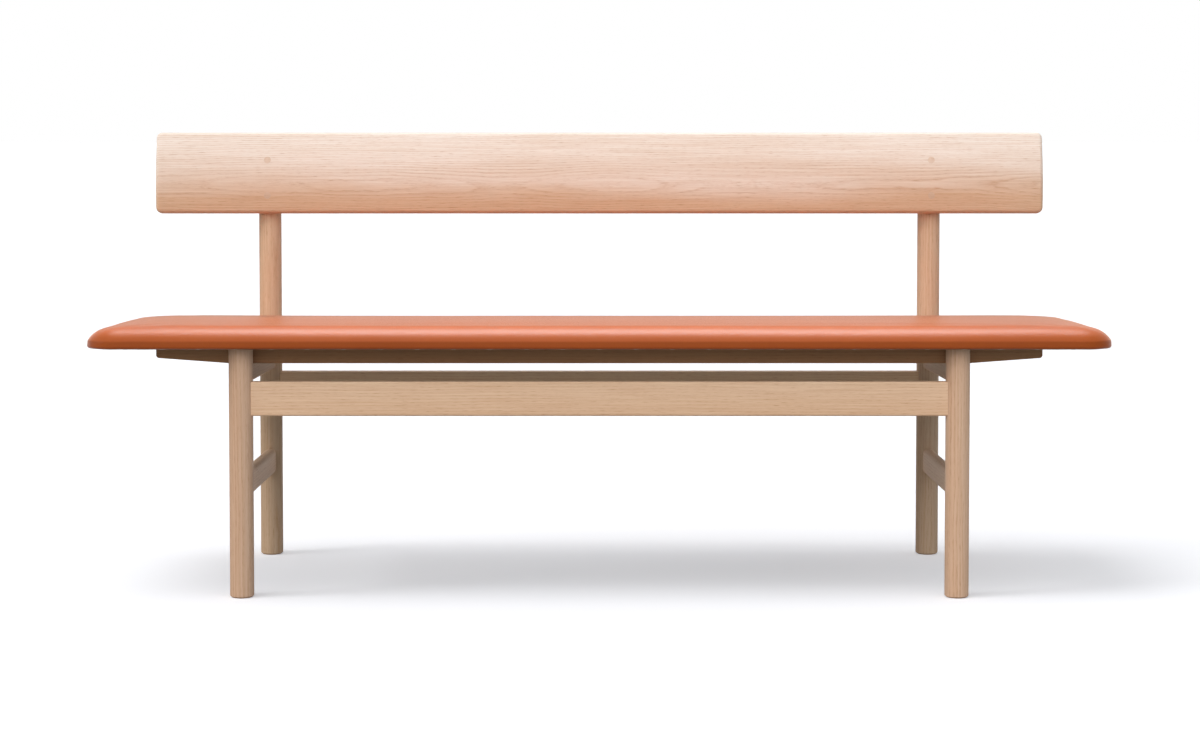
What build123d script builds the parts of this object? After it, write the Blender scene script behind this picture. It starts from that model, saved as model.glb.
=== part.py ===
from build123d import *
from math import cos, radians, sin, tan
import os

os.makedirs("parts", exist_ok=True)

# A bench with a padded leather seat and a plank back, in oak.
# Millimetres and degrees. X runs along the bench, Y goes back, Z is up.
# The origin is on the floor under the middle of the bench.

# Stance: the four legs are parallel and lean back together
lean = 2.0              # legs from upright
seat_fall = 0.5         # seat and side rails fall to the back, from square to the legs
plank_recline = 6.0     # back plank from the line of the legs

# Legs, with heights taken along a leg from the floor at the front legs
leg_diameter = 40
leg_spacing = 1187      # between leg axes, along the bench
leg_depth = 390         # between leg axes, front to rear
support_height = 413    # where the front legs meet the seat
rear_leg_height = 748
foot_chamfer = 2.5
leg_top_chamfer = 1.5
leg_foot_excess = 40    # cut away at the floor

# Mortise and tenon joints
mortise_far_wall = 8    # wood left beyond a mortise
tenon_end_room = 1
tenon_play = 0.1
tenon_thickness = 9
tenon_shoulder = 7      # above and below a tenon
scribe_gap = 0.2        # between a leg and the hollowed end of a rail

# Front and rear rails between the legs
rail_height = 57
rail_thickness = 20
rail_round = 3
rail_drop = 54.5        # from the seat support down to the top of the front rail
rear_rail_lower = 13.4  # than the front rail

# Lower side stretchers
stretcher_height = 44
stretcher_thickness = 20
stretcher_round = 8
stretcher_middle = 183  # height of the centre line

# Upper side rails, which carry the seat bearers
cross_rail_height = 59.5
cross_rail_thickness = 20
cross_rail_round = 5
cross_rail_tenon_drop = 13   # wood left above its tenon

# Seat bearers: two boards along the bench, halved into the cross rails
bearer_length = 1474
bearer_height = 26
bearer_thickness = 24
bearer_end_height = 17
bearer_end_round = 5
bearer_round = 1.5
bearer_gap = 0.2        # between a bearer and the legs
halving_play = 0.1

# Padded seat
seat_length = 1699
seat_overhang = 47      # ahead of the front leg axis
seat_leg_gap = 2        # between the back of the seat and the rear legs
seat_corner = 52        # rounding of the plan
under_round = 5         # the sides draw in towards the underside
pad_edge_height = 38.2  # of the flat top, without its crown
nose_slope = 35         # the upper edge slopes down all round, and is rounded off
nose_reach = 30.5       # of that slope, in from the side
nose_side_round = 15
nose_top_round = 35
seat_crown = 2.7
leather_thickness = 1.5
hem_width = 30          # leather turned under the board
hem_corner = 20
board_thickness = 12
board_inset = 6.4
board_corner = 45
lining_thickness = 0.8
lining_inset = 14
foam_lip_height = 6     # foam stops short of the underside round the board
pad_gap = 0.1           # between board, foam and leather

# Back plank
plank_length = 1587
plank_height = 144.5
plank_thickness = 27
plank_bulge = 8.6
plank_corner = 10
plank_front_round = 6.5
plank_back_chamfer = 2
plank_grip = 118.5      # from the plank's lower edge to the top of the legs
plank_sink = 0.4        # depth of the flat on the leg at the plank's lower edge
plank_overrun = 20

# Screws and plugs of the plank, heights from its lower edge
plug_diameter = 12
plug_play = 0.1
plug_low = 30.5
plug_high = 94
plank_screw_diameter = 5
plank_screw_head = 9
plank_screw_head_height = 3
plank_screw_wood = 13   # plank left under the head
plank_screw_bite = 25   # into the leg
screw_play = 0.15
screw_sides = 12        # the hidden screws and their holes are drawn with few sides
plug_bed_gap = 0.3      # between a plug and the screw under it

# Screws of the seat and the bearers
seat_screw_diameter = 4
seat_screw_head = 8
seat_screw_head_height = 2.5
seat_screw_recess = 8
seat_screw_bite = 8     # into the seat board
seat_screw_spread = 400
bearer_screw_length = 38

# Values worked out from the sizes above
leg_radius = leg_diameter / 2
leg_x = leg_spacing / 2
scribe_radius = leg_radius + scribe_gap
mortise_end = leg_radius - mortise_far_wall      # past the leg axis
tenon_end = mortise_end - tenon_end_room
fall_cos = cos(radians(seat_fall))
fall_tan = tan(radians(seat_fall))
seat_lean = lean + seat_fall
seat_depth = seat_overhang + (leg_depth - leg_radius) / fall_cos - seat_leg_gap
plank_bottom = rear_leg_height - plank_grip      # height along the rear legs
front_reach = (
    support_height * sin(radians(lean))
    - seat_overhang * cos(radians(seat_lean))
    + (lining_thickness + under_round) * sin(radians(seat_lean))
)
back_reach = (
    (leg_depth + leg_radius) * cos(radians(lean)) + rear_leg_height * sin(radians(lean))
)
front_leg_y = -(front_reach + back_reach) / 2
sides = (("left", -1), ("right", 1))


def planes(angle, origin):
    """Planes through a point, turned back by an angle: from above, from the side, facing."""
    back = Vector(0, cos(radians(angle)), -sin(radians(angle)))
    up = Vector(0, sin(radians(angle)), cos(radians(angle)))
    above = Plane(origin=origin, x_dir=(1, 0, 0), z_dir=up)
    beside = Plane(origin=origin, x_dir=back, z_dir=(1, 0, 0))
    facing = Plane(origin=origin, x_dir=(1, 0, 0), z_dir=back * -1)
    return above, beside, facing


# Planes of the legs, the seat and the plank
leg_above, leg_beside, leg_facing = planes(lean, (0, front_leg_y, 0))
support_point = leg_beside.from_local_coords((0, support_height))
seat_above, seat_beside, seat_facing = planes(seat_lean, support_point)
plank_point = leg_beside.from_local_coords((leg_depth - leg_radius + plank_sink, plank_bottom))
plank_above, plank_beside, plank_facing = planes(lean + plank_recline, plank_point)
pad_above = seat_above.offset(lining_thickness)


def wall_round(radius, wall):
    """A rounding, limited by the wall that it is on."""
    limit_share = 0.45
    return min(radius, limit_share * wall)


def screw_section(radius):
    """Outline of a screw or its hole."""
    return RegularPolygon(radius, screw_sides)


def leg_hollows():
    """Cut round hollows, a scribe gap larger than the legs, at all four legs."""
    hollow_length = rear_leg_height + leg_foot_excess
    with BuildSketch(leg_above) as hollows:
        with Locations((0, leg_depth / 2)):
            with GridLocations(leg_spacing, leg_depth, 2, 2):
                Circle(scribe_radius)
    extrude(hollows.sketch, amount=hollow_length, mode=Mode.SUBTRACT)


def rail_tenons(back, middle, play, mode):
    """A bar through a rail along the bench: its two ends are the tenons."""
    height = rail_height - 2 * tenon_shoulder
    with BuildSketch(leg_beside) as section:
        with Locations((back, middle)):
            Rectangle(tenon_thickness + 2 * play, height + 2 * play)
    reach = mortise_end if play else tenon_end
    extrude(section.sketch, amount=leg_x + reach, both=True, mode=mode)


def stretcher_tenons(x, play, mode):
    """A bar from front to rear leg: its two ends are the stretcher's tenons."""
    height = stretcher_height - 2 * tenon_shoulder
    with BuildSketch(leg_facing.offset(-leg_depth / 2)) as section:
        with Locations((x, stretcher_middle)):
            Rectangle(tenon_thickness + 2 * play, height + 2 * play)
    reach = mortise_end if play else tenon_end
    extrude(section.sketch, amount=leg_depth / 2 + reach, both=True, mode=mode)


def cross_rail_tenons(x, play, mode):
    """A bar in line with a cross rail: its two ends are the tenons."""
    low = tenon_shoulder - cross_rail_height
    high = -cross_rail_tenon_drop
    reach = mortise_end if play else tenon_end
    with BuildSketch(seat_facing.offset(-leg_depth / 2 / fall_cos)) as section:
        with Locations((x, (low + high) / 2)):
            Rectangle(tenon_thickness + 2 * play, high - low + 2 * play)
    extrude(section.sketch, amount=leg_depth / 2 / fall_cos + reach, both=True, mode=mode)


# Heights of the two rails along the legs
front_rail_middle = support_height - rail_drop - rail_height / 2
rear_rail_middle = front_rail_middle - rear_rail_lower


def plug_places():
    """Where the plugs stand on the plank's back plane."""
    return [(s * leg_x, h) for _, s in sides for h in (plug_low, plug_high)]


# Front legs: round, cut level at the floor and parallel to the seat on top
for side, sign in sides:
    with BuildPart() as front_leg:
        with BuildSketch(leg_above.offset(-leg_foot_excess)):
            with Locations((sign * leg_x, 0)):
                Circle(leg_radius)
        extrude(amount=support_height + 2 * leg_foot_excess)
        split(bisect_by=seat_above, keep=Keep.BOTTOM)
        split(bisect_by=Plane.XY, keep=Keep.TOP)
        chamfer(front_leg.edges().sort_by(Axis.Z)[0], foot_chamfer)
        rail_tenons(0, front_rail_middle, tenon_play, Mode.SUBTRACT)
        stretcher_tenons(sign * leg_x, tenon_play, Mode.SUBTRACT)
        cross_rail_tenons(sign * leg_x, tenon_play, Mode.SUBTRACT)
    front_leg.part.label = f"front_leg_{side}"
    export_step(front_leg.part, f"parts/front_leg_{side}.step")

# Rear legs: the same round stock, flattened aslant in front for the plank
for side, sign in sides:
    with BuildPart() as rear_leg:
        with BuildSketch(leg_above.offset(-leg_foot_excess)):
            with Locations((sign * leg_x, leg_depth)):
                Circle(leg_radius)
        extrude(amount=rear_leg_height + leg_foot_excess)
        chamfer(rear_leg.edges().sort_by(Axis.Z)[-1], leg_top_chamfer)
        split(bisect_by=Plane.XY, keep=Keep.TOP)
        chamfer(rear_leg.edges().sort_by(Axis.Z)[0], foot_chamfer)
        split(bisect_by=plank_facing, keep=Keep.BOTTOM)
        rail_tenons(leg_depth, rear_rail_middle, tenon_play, Mode.SUBTRACT)
        stretcher_tenons(sign * leg_x, tenon_play, Mode.SUBTRACT)
        cross_rail_tenons(sign * leg_x, tenon_play, Mode.SUBTRACT)
        with BuildSketch(plank_facing):
            with Locations(*plug_places()):
                screw_section(plank_screw_diameter / 2 + screw_play)
        extrude(amount=-plank_screw_bite - plug_bed_gap, mode=Mode.SUBTRACT)
    rear_leg.part.label = f"rear_leg_{side}"
    export_step(rear_leg.part, f"parts/rear_leg_{side}.step")

# Front and rear rails: flat boards, ends hollowed to the round legs
for name, back, middle in (
    ("front_rail", 0, front_rail_middle),
    ("rear_rail", leg_depth, rear_rail_middle),
):
    with BuildPart() as rail:
        with BuildSketch(leg_beside):
            with Locations((back, middle)):
                RectangleRounded(
                    rail_thickness, rail_height, wall_round(rail_round, rail_thickness)
                )
        extrude(amount=leg_x, both=True)
        leg_hollows()
        rail_tenons(back, middle, 0, Mode.ADD)
    rail.part.label = name
    export_step(rail.part, f"parts/{name}.step")

# Lower side stretchers, square to the legs
for side, sign in sides:
    with BuildPart() as stretcher:
        with BuildSketch(leg_facing.offset(-leg_depth / 2)):
            with Locations((sign * leg_x, stretcher_middle)):
                RectangleRounded(
                    stretcher_thickness,
                    stretcher_height,
                    wall_round(stretcher_round, stretcher_thickness),
                )
        extrude(amount=leg_depth / 2, both=True)
        leg_hollows()
        stretcher_tenons(sign * leg_x, 0, Mode.ADD)
    stretcher.part.label = f"side_stretcher_{side}"
    export_step(stretcher.part, f"parts/side_stretcher_{side}.step")

# Places of the bearers along the fall of the seat: just inside the legs
bearer_fronts = {
    "front": leg_radius / fall_cos + bearer_height * fall_tan + bearer_gap,
    "rear": (leg_depth - leg_radius) / fall_cos - bearer_gap - bearer_thickness,
}


def bearer_notches(depth_below, play):
    """Cut the lower half of both bearers' places, from the support level down."""
    with BuildSketch(seat_above) as notches:
        for start in bearer_fronts.values():
            with Locations((0, start + bearer_thickness / 2)):
                Rectangle(bearer_length, bearer_thickness + 2 * play)
    extrude(notches.sketch, amount=-depth_below, mode=Mode.SUBTRACT)


def bearer_screw_places():
    """Where the bearers cross the cross rails."""
    return [
        (s * leg_x, start + bearer_thickness / 2)
        for _, s in sides
        for start in bearer_fronts.values()
    ]


# Upper side rails: they fall with the seat, and the bearers lie in their top edge
for side, sign in sides:
    with BuildPart() as cross_rail:
        with BuildSketch(seat_beside.offset(sign * leg_x)):
            with Locations((leg_depth / 2 / fall_cos, -cross_rail_height / 2)):
                Rectangle(leg_depth / fall_cos, cross_rail_height)
        extrude(amount=cross_rail_thickness / 2, both=True)
        lower_edges = cross_rail.edges().filter_by(Axis(support_point, seat_beside.x_dir))
        fillet(
            lower_edges.sort_by(Axis.Z)[:2],
            wall_round(cross_rail_round, cross_rail_thickness),
        )
        leg_hollows()
        cross_rail_tenons(sign * leg_x, 0, Mode.ADD)
        bearer_notches(bearer_height / 2, halving_play)
        with BuildSketch(seat_above):
            with Locations(*bearer_screw_places()):
                screw_section(seat_screw_diameter / 2 + screw_play)
        extrude(amount=-bearer_screw_length - screw_play, mode=Mode.SUBTRACT)
    cross_rail.part.label = f"seat_cross_rail_{side}"
    export_step(cross_rail.part, f"parts/seat_cross_rail_{side}.step")


def seat_screw_places(start):
    """Three screws along a bearer, up into the seat board."""
    middle = start + bearer_thickness / 2
    return [(x, middle) for x in (-seat_screw_spread, 0, seat_screw_spread)]


# Seat bearers: their ends run out past the legs and taper from below
for side, start in bearer_fronts.items():
    taper_start = leg_x + leg_radius
    with BuildPart() as bearer:
        with BuildSketch(seat_facing.offset(-start)):
            with BuildLine():
                Polyline(
                    (-bearer_length / 2, 0),
                    (-bearer_length / 2, -bearer_end_height),
                    (-taper_start, -bearer_height),
                    (taper_start, -bearer_height),
                    (bearer_length / 2, -bearer_end_height),
                    (bearer_length / 2, 0),
                    close=True,
                )
            make_face()
        extrude(amount=-bearer_thickness)
        end_edges = bearer.edges().filter_by(Axis(support_point, seat_beside.x_dir))
        low_ends = end_edges.group_by(Axis.X)[0].sort_by(Axis.Z)[:1]
        low_ends += end_edges.group_by(Axis.X)[-1].sort_by(Axis.Z)[:1]
        fillet(low_ends, wall_round(bearer_end_round, bearer_end_height))
        with BuildSketch(seat_above.offset(-bearer_height)):
            for _, sign in sides:
                with Locations((sign * leg_x, start + bearer_thickness / 2)):
                    Rectangle(cross_rail_thickness + 2 * halving_play, 2 * bearer_thickness)
        extrude(amount=bearer_height / 2, mode=Mode.SUBTRACT)
        with BuildSketch(seat_above):
            with Locations(*bearer_screw_places(), *seat_screw_places(start)):
                screw_section(seat_screw_diameter / 2 + screw_play)
        extrude(amount=-bearer_height, mode=Mode.SUBTRACT)
        with BuildSketch(seat_above):
            with Locations(*bearer_screw_places()):
                screw_section(seat_screw_head / 2 + screw_play)
        extrude(amount=-seat_screw_head_height, mode=Mode.SUBTRACT)
        with BuildSketch(seat_above.offset(-bearer_height)):
            with Locations(*seat_screw_places(start)):
                screw_section(seat_screw_head / 2 + screw_play)
        extrude(amount=seat_screw_recess, mode=Mode.SUBTRACT)
    bearer.part.label = f"seat_bearer_{side}"
    export_step(bearer.part, f"parts/seat_bearer_{side}.step")


def pad_plan(height, inset, corner):
    """The pad's rounded plan at one height, drawn in by an inset."""
    with BuildSketch(pad_above.offset(height)) as plan:
        with Locations((0, seat_depth / 2 - seat_overhang)):
            RectangleRounded(seat_length - 2 * inset, seat_depth - 2 * inset, corner)
    return plan.sketch


def arched(beside, length, width, rise, top):
    """Keep what lies under a long arch, which rises over a width to its top.

    The plane looks along the arch, its origin under one side and its Y up.
    """
    radius = (width**2 / 4 + rise**2) / (2 * rise)
    with BuildSketch(beside) as section:
        with Locations((width / 2, top - radius)):
            Circle(radius)
    extrude(section.sketch, amount=length, both=True, mode=Mode.INTERSECT)


# Height over the seat's plane
seat_height = Axis(support_point, seat_above.z_dir)


def faces_up_the_seat(builder):
    """A solid's faces in order of their height over the seat's plane."""
    return builder.faces().sort_by(seat_height)


def pad_form(wall):
    """The pad's body, a wall's thickness inside the leather.

    The plan rises straight, a shallow arch from front to back crowns it, and its upper
    edge is sloped off and rounded.
    """
    width = seat_depth - 2 * wall
    crown_top = pad_edge_height + seat_crown - wall
    reach = nose_reach - wall * (1 - tan(radians(nose_slope / 2)))
    front_edge = seat_beside.shift_origin(
        seat_beside.from_local_coords((wall - seat_overhang, lining_thickness))
    )
    with BuildPart() as form:
        extrude(pad_plan(wall, wall, seat_corner - wall), amount=crown_top)
        arched(front_edge, seat_length, width, seat_crown, crown_top)
        top = faces_up_the_seat(form)[-1]
        chamfer(top.edges(), reach, angle=nose_slope, reference=top)
        side_faces = faces_up_the_seat(form)[1:-1]
        upright_faces = side_faces[: len(side_faces) // 2]
        ridge = [face.edges().sort_by(seat_height)[-1] for face in upright_faces]
        fillet(ridge, nose_side_round - wall)
        fillet(faces_up_the_seat(form)[-1].edges(), nose_top_round - wall)
    return form.part


def pad_screw_holes(top):
    """Holes of the seat's screws, from the support level up to a height over it."""
    with BuildSketch(seat_above) as holes:
        for start in bearer_fronts.values():
            with Locations(*seat_screw_places(start)):
                screw_section(seat_screw_diameter / 2 + screw_play)
    extrude(holes.sketch, amount=top, mode=Mode.SUBTRACT)


board_base = leather_thickness + pad_gap
seat_screw_top = lining_thickness + board_base + seat_screw_bite

# The forms outside and inside the leather, drawn in at the underside
with BuildPart() as outer_form:
    add(pad_form(0))
    fillet(faces_up_the_seat(outer_form)[0].edges(), under_round)
with BuildPart() as inner_form:
    add(pad_form(leather_thickness))
    chamfer(faces_up_the_seat(inner_form)[0].edges(), under_round - leather_thickness)
foam_form = pad_form(leather_thickness + pad_gap)

# Leather cover: one skin over the pad, turned under the board as a hem
with BuildPart() as seat_cover:
    add(outer_form.part)
    add(inner_form.part, mode=Mode.SUBTRACT)
    opening = pad_plan(0, hem_width, hem_corner)
    extrude(opening, amount=2 * leather_thickness, mode=Mode.SUBTRACT)
    pad_screw_holes(lining_thickness + 2 * leather_thickness)
seat_cover.part.label = "seat_cover"
export_step(seat_cover.part, "parts/seat_cover.step")

# Seat board: plywood, which the cover and the lining are stapled to
with BuildPart() as seat_board:
    extrude(pad_plan(board_base, board_inset, board_corner), amount=board_thickness)
    pad_screw_holes(seat_screw_top + screw_play)
seat_board.part.label = "seat_board"
export_step(seat_board.part, "parts/seat_board.step")

# Foam: fills the cover over the board and laps over the board's edge
with BuildPart() as seat_foam:
    add(foam_form)
    below = pad_plan(0, 0, seat_corner)
    extrude(below, amount=foam_lip_height, mode=Mode.SUBTRACT)
    held = pad_plan(0, board_inset - pad_gap, board_corner + pad_gap)
    extrude(held, amount=board_base + board_thickness + pad_gap, mode=Mode.SUBTRACT)
seat_foam.part.label = "seat_foam"
export_step(seat_foam.part, "parts/seat_foam.step")

# Lining: thin dark cloth over the hem, between the board and the bearers
with BuildPart() as seat_lining:
    lining_corner = seat_corner - lining_inset
    extrude(pad_plan(0, lining_inset, lining_corner), amount=-lining_thickness)
    pad_screw_holes(lining_thickness)
seat_lining.part.label = "seat_lining"
export_step(seat_lining.part, "parts/seat_lining.step")


def screws(plane, places, head, head_height, shank, length):
    """Screws with conical heads: heads flush with a plane, shanks going down from it."""
    with BuildSketch(plane) as heads:
        with Locations(*places):
            screw_section(head / 2)
    with BuildSketch(plane.offset(-head_height)) as necks:
        with Locations(*places):
            screw_section(shank / 2)
    extrude(necks.sketch, amount=head_height - length)
    for top, bottom in zip(heads.sketch.faces(), necks.sketch.faces()):
        loft([bottom, top])


# Screws up through the bearers into the seat board
with BuildPart() as seat_screws:
    head_level = seat_screw_recess - seat_screw_head_height - bearer_height
    under = seat_above.offset(head_level)
    below = Plane(origin=under.origin, x_dir=(1, 0, 0), z_dir=under.z_dir * -1)
    places = [
        (x, -s) for start in bearer_fronts.values() for x, s in seat_screw_places(start)
    ]
    seat_screw_length = seat_screw_top - head_level
    screws(
        below,
        places,
        seat_screw_head,
        seat_screw_head_height,
        seat_screw_diameter,
        seat_screw_length,
    )
seat_screws.part.label = "seat_screws"
export_step(seat_screws.part, "parts/seat_screws.step")

# Screws down through the bearers' halving joints into the cross rails
with BuildPart() as bearer_screws:
    screws(
        seat_above,
        bearer_screw_places(),
        seat_screw_head,
        seat_screw_head_height,
        seat_screw_diameter,
        bearer_screw_length,
    )
bearer_screws.part.label = "bearer_screws"
export_step(bearer_screws.part, "parts/bearer_screws.step")


# The plank seen along the bench, with its lower edge at the origin and its face upwards
plank_edge = Plane(origin=plank_point, x_dir=plank_above.z_dir, z_dir=(1, 0, 0))

# Back plank: rounded corners, a bulged face and softened edges all round
with BuildPart() as back_plank:
    with BuildSketch(plank_facing) as outline:
        with Locations((0, plank_height / 2)):
            RectangleRounded(plank_length, plank_height, plank_corner)
    extrude(amount=plank_thickness + plank_overrun)
    arched(plank_edge, plank_length, plank_height, plank_bulge, plank_thickness)
    faces_by_depth = back_plank.faces().sort_by(Axis(plank_point, plank_facing.z_dir))
    fillet(faces_by_depth[-1].edges(), plank_front_round)
    faces_by_depth = back_plank.faces().sort_by(Axis(plank_point, plank_facing.z_dir))
    chamfer(faces_by_depth[0].edges(), plank_back_chamfer)
    with BuildSketch(plank_facing):
        with Locations(*plug_places()):
            screw_section(plank_screw_diameter / 2 + screw_play)
    extrude(amount=plank_thickness, mode=Mode.SUBTRACT)
    with BuildSketch(plank_facing.offset(plank_screw_wood)):
        with Locations(*plug_places()):
            Circle(plug_diameter / 2 + plug_play)
    extrude(amount=plank_thickness, mode=Mode.SUBTRACT)
back_plank.part.label = "back_plank"
export_step(back_plank.part, "parts/back_plank.step")

# Plugs: round pieces of the same oak, cut flush with the bulged face
with BuildPart() as plank_plugs:
    plug_base = plank_screw_wood + plank_screw_head_height + plug_bed_gap
    with BuildSketch(plank_facing.offset(plug_base)):
        with Locations(*plug_places()):
            Circle(plug_diameter / 2)
    extrude(amount=plank_thickness)
    arched(plank_edge, plank_length, plank_height, plank_bulge, plank_thickness)
plank_plugs.part.label = "plank_plugs"
export_step(plank_plugs.part, "parts/plank_plugs.step")

# Screws under the plugs, through the plank into the rear legs
with BuildPart() as plank_screws:
    screws(
        plank_facing.offset(plank_screw_wood + plank_screw_head_height),
        plug_places(),
        plank_screw_head,
        plank_screw_head_height,
        plank_screw_diameter,
        plank_screw_wood + plank_screw_head_height + plank_screw_bite,
    )
plank_screws.part.label = "plank_screws"
export_step(plank_screws.part, "parts/plank_screws.step")
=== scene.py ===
from math import cos, pi, radians, sin

import bpy
import numpy as np
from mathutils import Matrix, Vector


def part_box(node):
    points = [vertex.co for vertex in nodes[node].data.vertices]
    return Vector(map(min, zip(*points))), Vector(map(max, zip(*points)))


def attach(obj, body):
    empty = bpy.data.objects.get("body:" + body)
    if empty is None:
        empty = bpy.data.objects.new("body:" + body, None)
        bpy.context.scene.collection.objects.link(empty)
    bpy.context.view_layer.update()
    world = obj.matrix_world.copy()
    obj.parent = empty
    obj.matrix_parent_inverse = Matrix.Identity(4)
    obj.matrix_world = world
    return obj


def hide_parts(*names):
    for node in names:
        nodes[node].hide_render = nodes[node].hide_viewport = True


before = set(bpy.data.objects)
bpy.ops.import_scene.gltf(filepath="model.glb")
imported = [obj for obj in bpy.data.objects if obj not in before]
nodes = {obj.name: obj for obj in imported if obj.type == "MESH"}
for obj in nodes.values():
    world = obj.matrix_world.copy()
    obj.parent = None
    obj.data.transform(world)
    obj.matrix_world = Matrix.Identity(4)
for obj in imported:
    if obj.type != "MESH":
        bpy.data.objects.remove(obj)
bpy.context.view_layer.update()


# Round legs.
# Four turned legs of solid oak, planed, rubbed down and treated with white soap, which
# leaves them pale and matt. The grain runs up each leg, a little different in every one.


class Nodes:
    """A tree of nodes, joined by short calls. Each call returns an output socket."""

    def __init__(self, tree):
        self.tree = tree

    def put(self, socket, value):
        """Set a socket to a value, or join it to another node's output."""
        if isinstance(value, bpy.types.NodeSocket):
            self.tree.links.new(value, socket)
        else:
            socket.default_value = value

    def math(self, operation, *values):
        node = self.tree.nodes.new("ShaderNodeMath")
        node.operation = operation
        for socket, value in zip(node.inputs, values):
            self.put(socket, value)
        return node.outputs[0]

    def dot(self, vector, direction):
        node = self.tree.nodes.new("ShaderNodeVectorMath")
        node.operation = "DOT_PRODUCT"
        self.put(node.inputs[0], vector)
        node.inputs[1].default_value = direction
        return node.outputs["Value"]

    def join(self, x, y, z):
        node = self.tree.nodes.new("ShaderNodeCombineXYZ")
        for socket, value in zip(node.inputs, (x, y, z)):
            self.put(socket, value)
        return node.outputs[0]

    def stretched(self, vector, scale, shift=(0, 0, 0)):
        node = self.tree.nodes.new("ShaderNodeMapping")
        self.put(node.inputs["Vector"], vector)
        node.inputs["Scale"].default_value = scale
        node.inputs["Location"].default_value = shift
        return node.outputs[0]

    def noise(self, vector, scale=1.0, detail=3.0):
        node = self.tree.nodes.new("ShaderNodeTexNoise")
        self.put(node.inputs["Vector"], vector)
        node.inputs["Scale"].default_value = scale
        node.inputs["Detail"].default_value = detail
        return node.outputs["Fac"]

    def cells(self, vector, scale, feature="F1"):
        node = self.tree.nodes.new("ShaderNodeTexVoronoi")
        node.feature = feature
        self.put(node.inputs["Vector"], vector)
        node.inputs["Scale"].default_value = scale
        return node.outputs["Distance"]

    def ramp(self, value, *stops):
        """Map a value through stops of (place, level)."""
        node = self.tree.nodes.new("ShaderNodeValToRGB")
        self.put(node.inputs[0], value)
        elements = node.color_ramp.elements
        while len(elements) < len(stops):
            elements.new(0.5)
        for element, (place, level) in zip(elements, stops):
            element.position = place
            element.color = (level, level, level, 1)
        return node.outputs[0]

    def blend(self, share, a, b, kind="MIX"):
        node = self.tree.nodes.new("ShaderNodeMix")
        node.data_type = "RGBA"
        node.blend_type = kind
        self.put(node.inputs["Factor"], share)
        self.put(node.inputs["A"], a)
        self.put(node.inputs["B"], b)
        return node.outputs["Result"]

    def shown(self):
        """1 for a ray from the camera, a reflection or glass, 0 for one that gathers light."""
        rays = self.tree.nodes.new("ShaderNodeLightPath").outputs
        direct = self.math("MAXIMUM", rays["Is Camera Ray"], rays["Is Glossy Ray"])
        return self.math("MAXIMUM", direct, rays["Is Transmission Ray"])


class Shader(Nodes):
    """A material's nodes, with its surface and the piece's own coordinates."""

    def __init__(self, name, roughness, specular):
        self.material = bpy.data.materials.new(name)
        self.material.use_nodes = True
        super().__init__(self.material.node_tree)
        self.surface = self.tree.nodes["Principled BSDF"]
        self.surface.inputs["Roughness"].default_value = roughness
        self.surface.inputs["Specular IOR Level"].default_value = specular
        self.place = self.tree.nodes.new("ShaderNodeTexCoord").outputs["Object"]

    def finish(self, colour, height, depth, strength, roughness=None):
        """Join colour, a bump of a real depth in metres and roughness to the surface."""
        self.put(self.surface.inputs["Base Color"], colour)
        bump = self.tree.nodes.new("ShaderNodeBump")
        bump.inputs["Strength"].default_value = strength
        bump.inputs["Distance"].default_value = depth
        self.put(bump.inputs["Height"], height)
        self.put(self.surface.inputs["Normal"], bump.outputs[0])
        if roughness is not None:
            self.put(self.surface.inputs["Roughness"], roughness)
        return self.material


def srgb(red, green, blue):
    """A colour as it looks on a screen, 0 to 255, as a linear colour."""
    shares = np.array((red, green, blue)) / 255
    linear = np.where(shares <= 0.04045, shares / 12.92, ((shares + 0.055) / 1.055) ** 2.4)
    return (*linear.tolist(), 1)


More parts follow.
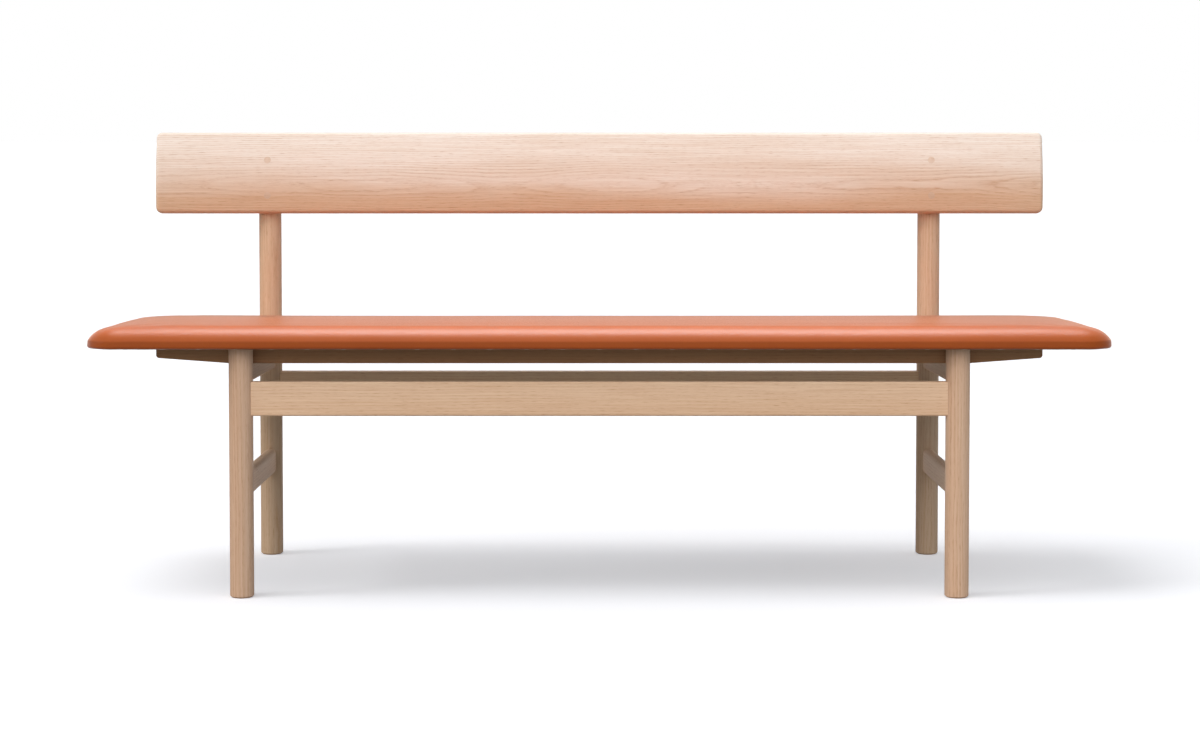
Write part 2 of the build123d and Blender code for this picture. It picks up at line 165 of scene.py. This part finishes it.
def soaped_oak(name, along, across, pith, seed, pale, warm, heart, figure=0.7,
               ring=0.005, flame=0.03):
    """Oak with its grain along a direction.

    The growth rings are the distance from a pith line, which wanders slowly along the
    piece by up to flame, divided by the width of a ring. Each ring starts with a dark
    band of pores. The wood is warmer towards its heart side, between two heights across
    the grain, and figure is how strongly the rings show. On the back plank this warmer
    side lies low down, and there it is also painted shade and warm bounce light.
    """
    waviness = 0.006
    cloud_share, heart_share = 0.8, 0.7
    smoothest, fibre_roughness = 0.5, 0.22
    relief_depth, relief_strength = 0.0002, 0.5
    line_tint, pore_tint = srgb(226, 204, 184), srgb(220, 198, 180)

    oak = Shader(name, roughness=0.6, specular=0.3)
    along, across = Vector(along), Vector(across)
    u = oak.dot(oak.place, along)
    v = oak.dot(oak.place, across)
    w = oak.dot(oak.place, along.cross(across))
    grain = oak.join(u, v, w)
    start = (seed * 3.1, seed * 1.7, seed * 2.3)

    wander = oak.noise(oak.stretched(grain, (1.6, 3.0, 3.0), start), detail=1.0)
    ripple = oak.noise(oak.stretched(grain, (9.0, 28.0, 28.0), start), detail=3.0)
    side = oak.math("SUBTRACT", v, pith[0])
    deep = oak.math("SUBTRACT", w, pith[1])
    deep = oak.math("ADD", deep, oak.math("MULTIPLY", wander, flame))
    radius = oak.math("SQRT", oak.math("ADD", oak.math("MULTIPLY", side, side),
                                       oak.math("MULTIPLY", deep, deep)))
    radius = oak.math("ADD", radius, oak.math("MULTIPLY", ripple, waviness))
    in_ring = oak.math("FRACT", oak.math("DIVIDE", radius, ring))
    band = oak.ramp(in_ring, (0.0, 0.4), (0.1, 0.9), (0.3, 0.4),
                    (0.6, 0.12), (0.9, 0.0), (1.0, 0.4))

    pore = oak.noise(oak.stretched(grain, (70.0, 2100.0, 2100.0), start), detail=1.0)
    pores = oak.math("MULTIPLY", oak.ramp(pore, (0.56, 0.0), (0.72, 1.0)),
                     oak.ramp(band, (0.0, 0.15), (0.6, 1.0)))
    fibre = oak.noise(oak.stretched(grain, (9.0, 420.0, 420.0), start), detail=4.0)
    streak = oak.noise(oak.stretched(grain, (2.2, 60.0, 60.0), start), detail=3.0)
    cloud = oak.noise(oak.stretched(grain, (1.6, 14.0, 14.0), start), detail=2.0)

    inward = oak.math("DIVIDE", oak.math("SUBTRACT", heart[1], v), heart[1] - heart[0])
    warmth = oak.math("ADD", oak.math("MULTIPLY", cloud, cloud_share),
                      oak.math("MULTIPLY", inward, heart_share))
    colour = oak.blend(oak.ramp(warmth, (0.42, 0.0), (0.72, 0.35), (1.02, 1.0)), pale, warm)
    shaded = oak.blend(1.0, colour, line_tint, "MULTIPLY")
    strong = oak.ramp(streak, (0.4, 0.1 * figure), (0.68, figure))
    colour = oak.blend(oak.math("MULTIPLY", band, strong), colour, shaded)
    colour = oak.blend(oak.ramp(fibre, (0.3, 0.4), (0.66, 0.0)), colour, shaded)
    pored = oak.blend(1.0, colour, pore_tint, "MULTIPLY")
    colour = oak.blend(pores, colour, pored)

    relief = oak.math("SUBTRACT", oak.math("MULTIPLY", fibre, 0.5), pores)
    rough = oak.math("ADD", smoothest, oak.math("MULTIPLY", fibre, fibre_roughness))
    return oak.finish(colour, relief, relief_depth, relief_strength, rough)


def dress(name, material):
    """Give a CAD node its material."""
    mesh = nodes[name].data
    mesh.materials.clear()
    mesh.materials.append(material)


def middle_of(name, *directions):
    """The middle of a node's box, measured along some directions."""
    low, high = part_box(name)
    middle = (Vector(low) + Vector(high)) / 2
    return [middle.dot(Vector(direction)) for direction in directions]


leg_radius = 0.02
leg_lean = radians(2.0)
along_bench = Vector((1, 0, 0))
up_leg = Vector((0, sin(leg_lean), cos(leg_lean)))
back_leg = Vector((0, cos(leg_lean), -sin(leg_lean)))

# Each leg has its own tone: partly the wood, partly painted light and shade for the light it gets.
for seed, (name, side, deep, pale, warm) in enumerate((
    ("front_leg_left", -0.05, 0.04, srgb(221, 190, 164), srgb(210, 175, 147)),
    ("front_leg_right", 0.06, 0.03, srgb(228, 197, 170), srgb(218, 182, 153)),
    ("rear_leg_left", 0.045, -0.06, srgb(226, 200, 171), srgb(219, 189, 157)),
    ("rear_leg_right", -0.06, 0.04, srgb(224, 198, 170), srgb(215, 185, 155)),
)):
    v, w = middle_of(name, along_bench, up_leg.cross(along_bench))
    dress(name, soaped_oak(name, up_leg, along_bench, (v + side, w + deep), seed + 1,
                           pale, warm, heart=(v - leg_radius, v + leg_radius)))


# Rails, stretchers and seat bearers.
# Straight oak boards with softened edges, tenoned into the legs. The front and rear
# rails and the bearers run along the bench, the others from front to back.

seat_lean = radians(2.5)
back_seat = Vector((0, cos(seat_lean), -sin(seat_lean)))
up_seat = Vector((0, sin(seat_lean), cos(seat_lean)))

rail_tones = srgb(237, 204, 173), srgb(229, 193, 160)
# The rear rail is lighter than the front one: painted light, as it stands in shade under the seat.
rear_painted_light_tones = srgb(254, 222, 186), srgb(250, 214, 176)
# The bearers are a darker tone than the rails, to match how deep in shade they are seen.
shade_tones = srgb(166, 126, 89), srgb(154, 114, 78)
board_half = 0.03
for seed, (name, along, across, (pale, warm)) in enumerate((
    ("front_rail", along_bench, up_leg, rail_tones),
    ("rear_rail", along_bench, up_leg, rear_painted_light_tones),
    ("side_stretcher_left", back_leg, up_leg, rail_tones),
    ("side_stretcher_right", back_leg, up_leg, rail_tones),
    ("seat_cross_rail_left", back_seat, up_seat, rail_tones),
    ("seat_cross_rail_right", back_seat, up_seat, rail_tones),
    ("seat_bearer_front", along_bench, up_seat, shade_tones),
    ("seat_bearer_rear", along_bench, up_seat, shade_tones),
)):
    v, w = middle_of(name, across, along.cross(across))
    dress(name, soaped_oak(name, along, across, (v - 0.09, w + 0.05), seed + 11,
                           pale, warm, heart=(v - board_half, v + board_half), figure=0.4))


# Back plank and its plugs.
# One flat-sawn oak board with a bulged face, so that the rings come out as long flames
# along its middle. The plugs over the screws are cut from the same oak.

plank_lean = radians(8.0)
up_plank = Vector((0, sin(plank_lean), cos(plank_lean)))
v, w = middle_of("back_plank", up_plank, along_bench.cross(up_plank))
# The plank is near white on top, warmer low down: partly heartwood, partly painted sheen and
# shade.
plank_heart_and_shade = (v - 0.072, v + 0.06)
dress("back_plank", soaped_oak("back_plank", along_bench, up_plank, (v - 0.026, w + 0.07), 31,
                               srgb(253, 240, 229), srgb(225, 191, 160), plank_heart_and_shade,
                               figure=0.7, ring=0.0036, flame=0.055))
dress("plank_plugs", soaped_oak("plank_plugs", along_bench, up_plank, (v + 0.09, w + 0.05), 37,
                                srgb(244, 222, 204), srgb(214, 184, 158), plank_heart_and_shade,
                                figure=0.3, ring=0.0021))


# Padded seat.
# Foam over a plywood board, in one cover of smooth aniline leather that is pulled over
# the sloping edge and turned under. It is tight, and only swells a little.

hem_width = 0.034
pad_corner = 0.052
slack = 0.001
brow = 0.050
shoulder = 0.004
slope = radians(57)
under_round = 0.005
crown = 0.0027
end_drop = 0.0068
end_run = 0.13
top_steps = np.array((0.007, 0.014, 0.022))


def leaned_box(name):
    """Lowest and highest corners of a node along the bench, back and up from the seat."""
    leaned = points_of(nodes[name].data) @ np.array((along_bench, back_seat, up_seat)).T
    return leaned.min(0), leaned.max(0)


def from_seat(x, back, up):
    """Points given along the bench, back and up from the seat, in the frame's axes."""
    points = np.stack(np.broadcast_arrays(x, back, up), axis=-1)
    return points @ np.array((along_bench, back_seat, up_seat))


def rounded_ring(half_length, half_depth, corner, counts):
    """Points round a rounded rectangle, from the front of its right side, anticlockwise.

    A side is divided evenly and a corner is a quarter circle, with the same number of
    points on every ring, whatever its size.
    """
    side_count, front_count, corner_count = counts
    turn = np.linspace(0, pi / 2, corner_count, endpoint=False)
    side = np.linspace(-1, 1, side_count, endpoint=False)
    front = np.linspace(-1, 1, front_count, endpoint=False)
    long_run, short_run = half_length - corner, half_depth - corner
    right = np.stack((side * 0 + half_length, side * short_run), 1)
    back = np.stack((-front * long_run, front * 0 + half_depth), 1)
    quarter = corner * np.stack((np.cos(turn), np.sin(turn)), 1)
    half = np.concatenate((
        right,
        quarter + (long_run, short_run),
        back,
        np.stack((-quarter[:, 1], quarter[:, 0]), 1) + (-long_run, short_run),
    ))
    return np.concatenate((half, -half))


def pad_profile():
    """The pad's section as insets from its side and heights, from the hem to the flat top.

    The hem is flat, a quarter circle turns it up, and above a short upright side two
    arcs follow: a tight shoulder from upright to the slope, and a wide brow from there
    to level. On an arc of radius r, a tilt of t is r sin t along and r cos t up.
    """
    hem = np.linspace(hem_width, under_round, 5)[:-1]
    low_turn = np.linspace(pi / 2, 0, 6)
    tight = np.linspace(pi / 2, slope, 6)
    wide = np.linspace(slope, 0, 13)[1:]
    depth = shoulder * (1 - sin(slope)) + brow * sin(slope)
    upright = edge_top - brow * (1 - cos(slope)) - shoulder * cos(slope)
    inset = np.concatenate((
        hem,
        under_round * (1 - np.cos(low_turn)),
        (0.0,),
        shoulder * (1 - np.sin(tight)),
        depth - brow * np.sin(wide),
        depth + top_steps,
    ))
    height = np.concatenate((
        hem * 0,
        under_round * (1 - np.sin(low_turn)),
        ((under_round + upright) / 2,),
        upright + shoulder * np.cos(tight),
        edge_top - brow * (1 - np.cos(wide)),
        np.full(len(top_steps), edge_top),
    ))
    return inset, height


def grid_faces(rows, columns, closed):
    """Quads of a grid of points, row by row, closed round each row or open."""
    row = np.arange(rows - 1)[:, None] * columns
    column = np.arange(columns if closed else columns - 1)[None, :]
    after = (column + 1) % columns
    quads = (row + column, row + after, row + columns + after, row + columns + column)
    return np.stack(quads, axis=-1).reshape(-1, 4)


def piece_from(name, points, faces, material):
    """A smooth-shaded piece from points and faces, with its material."""
    mesh = bpy.data.meshes.new(name)
    mesh.from_pydata(points.tolist(), [], faces.tolist())
    mesh.polygons.foreach_set("use_smooth", np.ones(len(mesh.polygons), bool))
    mesh.materials.append(material)
    piece = bpy.data.objects.new(name, mesh)
    bpy.context.scene.collection.objects.link(piece)
    return piece


def apply_modifiers(piece):
    """Replace a piece's mesh by the one that its modifiers give."""
    scene_state = bpy.context.evaluated_depsgraph_get()
    mesh = bpy.data.meshes.new_from_object(piece.evaluated_get(scene_state))
    piece.modifiers.clear()
    piece.data = mesh


def points_of(mesh):
    """A mesh's points as rows of an array."""
    points = np.empty(len(mesh.vertices) * 3)
    mesh.vertices.foreach_get("co", points)
    return points.reshape(-1, 3)


pad_low, pad_high = leaned_box("seat_cover")
pad_middle = (pad_low + pad_high) / 2
pad_half = (pad_high - pad_low) / 2 - slack
edge_top = pad_high[2] - pad_low[2] - crown - slack

leather = Shader("cognac_leather", roughness=0.38, specular=0.17)
leather.surface.inputs["Sheen Weight"].default_value = 0.7
leather.surface.inputs["Sheen Roughness"].default_value = 0.25
leather.surface.inputs["Sheen Tint"].default_value = srgb(255, 226, 200)
blotch = leather.noise(leather.stretched(leather.place, (5.0, 9.0, 9.0)), detail=3.0)
fine = leather.noise(leather.place, 160.0, detail=3.0)
crease = leather.ramp(leather.cells(leather.place, 700.0, "DISTANCE_TO_EDGE"),
                      (0.0, 0.0), (0.3, 1.0))
pits = leather.cells(leather.place, 1900.0)
tone = leather.blend(leather.ramp(blotch, (0.3, 0.0), (0.7, 1.0)),
                     srgb(160, 77, 24), srgb(152, 71, 20))
tone = leather.blend(leather.ramp(fine, (0.35, 0.3), (0.7, 0.0)), tone, srgb(148, 65, 23))
tone = leather.blend(leather.ramp(crease, (0.0, 0.25), (0.6, 0.0)), tone, srgb(128, 56, 22))
grain = leather.math("ADD", crease, leather.math("MULTIPLY", pits, 0.4))
gloss = leather.math("ADD", 0.31, leather.math("MULTIPLY", fine, 0.12))
cognac = leather.finish(tone, grain, 0.00012, 0.45, gloss)


def top_lift(x, y):
    """How far the top stands over its edge: a crown, and a soft fall towards both ends."""
    past = np.maximum(np.abs(x) - (pad_half[0] - end_run), 0) / end_run
    return crown * (1 - (y / pad_half[1]) ** 2) - end_drop * past ** 2


def leather_pad():
    """The pad's skin: its profile carried round its plan, and a grid over the flat top.

    The top's lift fades in up the side by the eighth power of the height's share.
    """
    counts = (44, 186, 10)
    weld_gap = 0.0002
    inset, height = pad_profile()
    rings = []
    for i, h in zip(inset, height):
        corner = pad_corner * (1 - i / inset[-1])
        ring = rounded_ring(pad_half[0] - i, pad_half[1] - i, corner, counts)
        lift = top_lift(ring[:, 0], ring[:, 1]) * (h / edge_top) ** 8
        rings.append(from_seat(pad_middle[0] + ring[:, 0], pad_middle[1] + ring[:, 1],
                               pad_low[2] + h + lift))
    ring_faces = grid_faces(len(rings), len(rings[0]), closed=True)

    x = np.linspace(-1, 1, counts[1] + 1) * (pad_half[0] - inset[-1])
    y = np.linspace(-1, 1, counts[0] + 1) * (pad_half[1] - inset[-1])
    top = from_seat(pad_middle[0] + x[None, :], pad_middle[1] + y[:, None],
                    pad_low[2] + edge_top + top_lift(x[None, :], y[:, None]))
    top_faces = grid_faces(len(y), len(x), closed=False) + len(rings) * len(rings[0])
    points = np.concatenate((np.concatenate(rings), top.reshape(-1, 3)))
    piece = piece_from("leather_pad", points, np.concatenate((ring_faces, top_faces)), cognac)
    weld = piece.modifiers.new("weld", "WELD")
    weld.merge_threshold = weld_gap
    apply_modifiers(piece)
    return piece


def swell(piece, pressure, last_frame, cap):
    """Blow a pad up by a cloth simulation, with its underside held.

    A point follows its simulated move, m, by cap * tanh(m / cap), and the cap rises and
    falls by the mean of some slow waves, as a hand-filled pad is never quite even. It
    fades in up the side from least_share, between fade_start and fade_length above it.
    """
    held_height = 0.0012
    wave_count, wave_spread, unevenness = 7, (9.0, 22.0), 0.9
    fade_start, fade_length, least_share = 0.002, 0.012, 0.02
    never_zero = 1e-9

    start = points_of(piece.data)
    under = np.flatnonzero(start @ np.array(up_seat) < pad_low[2] + held_height)
    piece.vertex_groups.new(name="held").add(under.tolist(), 1.0, "REPLACE")
    air = piece.modifiers.new("air", "CLOTH")
    air.settings.quality = 5
    air.settings.mass = 0.4
    air.settings.use_pressure = True
    air.settings.uniform_pressure_force = pressure
    air.settings.vertex_group_mass = "held"
    air.settings.effector_weights.gravity = 0
    air.collision_settings.use_collision = False
    air.point_cache.frame_end = last_frame
    for number in range(1, last_frame + 1):
        bpy.context.scene.frame_set(number)
    blown = piece.evaluated_get(bpy.context.evaluated_depsgraph_get()).to_mesh()
    move = points_of(blown) - start
    piece.modifiers.clear()
    bpy.context.scene.frame_set(1)

    rng = np.random.default_rng(5)
    waves = rng.normal(0, wave_spread, (wave_count, 2))
    phases = rng.uniform(0, 2 * pi, wave_count)
    uneven = np.cos(start[:, :2] @ waves.T + phases).mean(1)
    height = start @ np.array(up_seat) - pad_low[2]
    fade = np.clip((height - fade_start) / fade_length, least_share, 1)
    limit = (cap * (1 + unevenness * uneven) * fade)[:, None]
    reach = np.linalg.norm(move, axis=1, keepdims=True) + never_zero
    swollen = start + move / reach * limit * np.tanh(reach / limit)
    piece.data.vertices.foreach_set("co", swollen.ravel())
    piece.data.update()


pad = leather_pad()
swell(pad, pressure=4.0, last_frame=20, cap=0.0013)
rounder = pad.modifiers.new("rounder", "SUBSURF")
rounder.levels = rounder.render_levels = 1
apply_modifiers(pad)
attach(pad, "root")
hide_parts("seat_cover", "seat_foam")


# Seat board and screws.
# Birch plywood under the foam, which the leather and the lining are stapled to, and
# zinc-plated steel screws up through the bearers.

ply = Shader("plywood", roughness=0.7, specular=0.3)
veneer = ply.noise(ply.stretched(ply.place, (12.0, 300.0, 300.0)), detail=3.0)
layer = ply.math("FRACT", ply.math("MULTIPLY", ply.dot(ply.place, up_seat), 500.0))
wood = ply.blend(ply.ramp(veneer, (0.3, 0.0), (0.7, 1.0)),
                 srgb(222, 196, 156), srgb(204, 174, 132))
wood = ply.blend(ply.ramp(layer, (0.45, 0.0), (0.55, 0.35)), wood, srgb(160, 124, 84))
dress("seat_board", ply.finish(wood, veneer, 0.0002, 0.4))

steel = Shader("zinc_plate", roughness=0.35, specular=0.5)
steel.surface.inputs["Metallic"].default_value = 1.0
mottle = steel.noise(steel.place, 700.0)
zinc = steel.blend(steel.ramp(mottle, (0.3, 0.0), (0.7, 1.0)),
                   srgb(190, 186, 172), srgb(160, 155, 140))
zinc = steel.finish(zinc, mottle, 0.0001, 0.3)
for name in ("seat_screws", "bearer_screws", "plank_screws"):
    dress(name, zinc)


# Lining and its staples.
# A thin dark spunbond cloth that covers the leather's hem under the seat. It is pulled
# flat and held round its margin by a row of steel staples, between which it puckers.

lining_low, lining_high = leaned_box("seat_lining")
lining_middle = (lining_low + lining_high) / 2
lining_half = (lining_high - lining_low) / 2
lining_corner = 0.038
staple_pitch = 0.06
staple_inset = 0.008
rear_inset = 0.0145
staple_width = 0.010
wire = 0.0006
pucker_reach = 0.011
pucker_depth = 0.0001
margin = 0.02

cloth = Shader("spunbond", roughness=0.9, specular=0.2)
felt = cloth.noise(cloth.place, 900.0, detail=2.0)
dots = cloth.cells(cloth.place, 640.0)
black = cloth.blend(cloth.ramp(felt, (0.35, 0.0), (0.7, 1.0)),
                    srgb(34, 33, 32), srgb(56, 54, 52))
black = cloth.blend(cloth.ramp(dots, (0.15, 0.5), (0.4, 0.0)), black, srgb(22, 21, 21))
spunbond = cloth.finish(black, cloth.math("SUBTRACT", felt, dots), 0.0003, 0.5)


def lining_sheet():
    """The lining, as columns across a rounded rectangle.

    At a column the half depth is the corner's circle, sqrt(r^2 - d^2). Between staples
    the margin hangs by a cosine, and the hanging dies away from the edge.
    """
    turn = np.linspace(0, pi / 2, 12)[1:]
    long_run = lining_half[0] - lining_corner
    end = long_run + lining_corner * np.sin(turn)
    x = np.concatenate((-end[::-1], np.linspace(-long_run, long_run, 321), end))
    past = np.maximum(np.abs(x) - long_run, 0)
    depth = lining_half[1] - lining_corner + np.sqrt(np.maximum(lining_corner ** 2 - past ** 2, 0))
    y = np.linspace(-1, 1, 97)[:, None] * depth[None, :]
    x = np.broadcast_to(x, y.shape)

    from_side = depth[None, :] - np.abs(y)
    from_end = lining_half[0] - np.abs(x)
    hang = (1 - np.cos(2 * pi * x / staple_pitch)) * np.exp(-from_side / pucker_reach)
    hang += (1 - np.cos(2 * pi * y / staple_pitch)) * np.exp(-from_end / pucker_reach)
    free = np.clip(np.minimum(from_side, from_end + margin) / -margin + 1.6, 0, 1)
    up = lining_middle[2] - pucker_depth * hang * free
    points = from_seat(lining_middle[0] + x, lining_middle[1] + y, up)
    faces = grid_faces(*y.shape, closed=False)[:, ::-1]
    return piece_from("lining_cloth", points.reshape(-1, 3), faces, spunbond)


def staples():
    """A row of staples round the lining's margin.

    A staple's crown is a half-round bar whose ends turn up into the cloth. One is made
    and set down again and again, turned to lie along the margin. The rear row stands
    further in and half a pitch aside, to clear the rear bearer and the cross rails.
    """
    arc = np.linspace(0, pi, 9)
    run = np.linspace(-1, 1, 7)
    rise = wire * (1 - run ** 6)
    side = np.cos(arc)[None, :] * wire * 1.1 + run[:, None] * 0
    drop = np.sin(arc)[None, :] * rise[:, None] + 0 * side
    along = run[:, None] * staple_width / 2 + 0 * side
    one = np.stack((along, side, drop), -1).reshape(-1, 3)
    one_faces = grid_faces(len(run), len(arc), closed=False)

    long_half = lining_half[0] - lining_corner
    short_half = lining_half[1] - lining_corner
    long_count, short_count = int(long_half / staple_pitch), int(short_half / staple_pitch)
    x = np.arange(-long_count, long_count + 1) * staple_pitch
    y = np.arange(-short_count, short_count + 1) * staple_pitch
    between = x[:-1] + staple_pitch / 2
    edge = lining_half[:2] - staple_inset
    places = np.concatenate((
        np.stack((x, x * 0 - edge[1], x * 0), 1),
        np.stack((between, between * 0 + lining_half[1] - rear_inset, between * 0), 1),
        np.stack((y * 0 - edge[0], y, y * 0 + 1), 1),
        np.stack((y * 0 + edge[0], y, y * 0 + 1), 1),
    ))
    turned = places[:, 2, None]
    px = places[:, 0, None] + one[:, 0] * (1 - turned) - one[:, 1] * turned
    py = places[:, 1, None] + one[:, 1] * (1 - turned) + one[:, 0] * turned
    pz = lining_low[2] - one[:, 2] + px * 0
    points = from_seat(lining_middle[0] + px, lining_middle[1] + py, pz).reshape(-1, 3)
    starts = np.arange(len(places))[:, None, None] * len(one)
    faces = (one_faces[None] + starts).reshape(-1, 4)
    return piece_from("lining_staples", points, faces, zinc)


lining = lining_sheet()
thread = lining.modifiers.new("thickness", "SOLIDIFY")
thread.thickness = 0.0004
thread.offset = 0.0
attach(lining, "root")
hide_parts("seat_lining")
row = staples()
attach(row, "root")


# Studio.
# A white floor, soft lights over and in front of the bench, and the camera where the
# photograph was taken.

# The floor that is seen glows a little. For rays that gather light it is a plain grey.
floor_half = 30.0
floor_glow = 0.385
corners = np.array([(x, y, 0) for x, y in ((-1, -1), (1, -1), (1, 1), (-1, 1))]) * floor_half
paper = Shader("paper", roughness=1.0, specular=0.0)
shown = paper.shown()
paper.put(paper.surface.inputs["Base Color"],
          paper.blend(shown, (0.45, 0.45, 0.45, 1), (0.93, 0.94, 0.97, 1)))
paper.surface.inputs["Emission Color"].default_value = (0.98, 0.99, 1.03, 1)
paper.put(paper.surface.inputs["Emission Strength"], paper.math("MULTIPLY", shown, floor_glow))
floor = piece_from("floor", corners, np.array([(0, 1, 2, 3)]), paper.material)

# The room is white where it is seen, and lights the bench by a dome that fades downwards.
room = bpy.data.worlds.new("room")
bpy.context.scene.world = room
room.use_nodes = True
sky = Nodes(room.node_tree)
direction = sky.tree.nodes.new("ShaderNodeTexCoord").outputs["Generated"]
dome = sky.tree.nodes.new("ShaderNodeMapRange")
dome.interpolation_type = "SMOOTHSTEP"
for name, value in (("From Min", 0.1), ("From Max", 0.7), ("To Min", 0.08), ("To Max", 0.5)):
    dome.inputs[name].default_value = value
sky.put(dome.inputs["Value"], sky.dot(direction, (0, 0, 1)))
strength = sky.tree.nodes.new("ShaderNodeMix")
strength.data_type = "FLOAT"
sky.put(strength.inputs["Factor"], sky.shown())
sky.put(strength.inputs["A"], dome.outputs[0])
strength.inputs["B"].default_value = 1.0
background = sky.tree.nodes["Background"]
background.inputs["Color"].default_value = (1, 1, 1, 1)
sky.put(background.inputs["Strength"], strength.outputs["Result"])


def add_lamp(name, kind, energy, towards, place=(0, 0, 0)):
    """A lamp at a place, shining from a direction."""
    data = bpy.data.lights.new(name, kind)
    data.energy = energy
    lamp = bpy.data.objects.new(name, data)
    lamp.location = place
    lamp.rotation_euler = Vector(towards).to_track_quat("Z", "Y").to_euler()
    bpy.context.scene.collection.objects.link(lamp)
    return lamp


overhead = add_lamp("overhead_softbox", "AREA", 107, (0, 0.3, 1), place=(0, 0.8, 2.3))
overhead.data.shape = "RECTANGLE"
overhead.data.size, overhead.data.size_y = 3.0, 0.9
overhead.visible_glossy = False
strip = add_lamp("gloss_strip", "AREA", 104, (0, 0.36, 0.93), place=(0, 0.5, 2.3))
strip.data.shape = "RECTANGLE"
strip.data.size, strip.data.size_y = 2.5, 0.35
strip.visible_diffuse = False
front = add_lamp("front_softbox", "SUN", 1.8, (-0.107, -0.78, 0.62))
front.data.angle = radians(65)
front.visible_glossy = False
fill = add_lamp("left_fill", "SUN", 0.75, (-0.85, -0.2, 0.45))
fill.data.angle = radians(22)
floor_light = add_lamp("floor_light", "SUN", 0.82, (-0.3, -0.1, 0.95))
floor_light.data.angle = radians(30)

# As with flags in a studio, the overhead light reaches only the leather, the floor light
# only the floor, and the front light everything but the floor.
for lamp, piece, state in (
    (front, floor, "EXCLUDE"),
    (overhead, pad, "INCLUDE"),
    (floor_light, floor, "INCLUDE"),
):
    flag = bpy.data.collections.new(lamp.name + "_flag")
    flag.objects.link(piece)
    flag.collection_objects[0].light_linking.link_state = state
    lamp.light_linking.receiver_collection = flag

photo_width = 1200
focal_pixels = 2555.4
shift_pixels = -80
camera_tilt = radians(4.616)
lens = bpy.data.cameras.new("camera")
lens.sensor_width = 36.0
lens.lens = lens.sensor_width * focal_pixels / photo_width
lens.shift_y = shift_pixels / photo_width
camera = bpy.data.objects.new("camera", lens)
camera.location = (0.0011, -4.3937, 0.8577)
camera.rotation_euler = (pi / 2 - camera_tilt, 0, 0)
bpy.context.scene.collection.objects.link(camera)
bpy.context.scene.camera = camera
bpy.context.scene.view_settings.view_transform = "Standard"
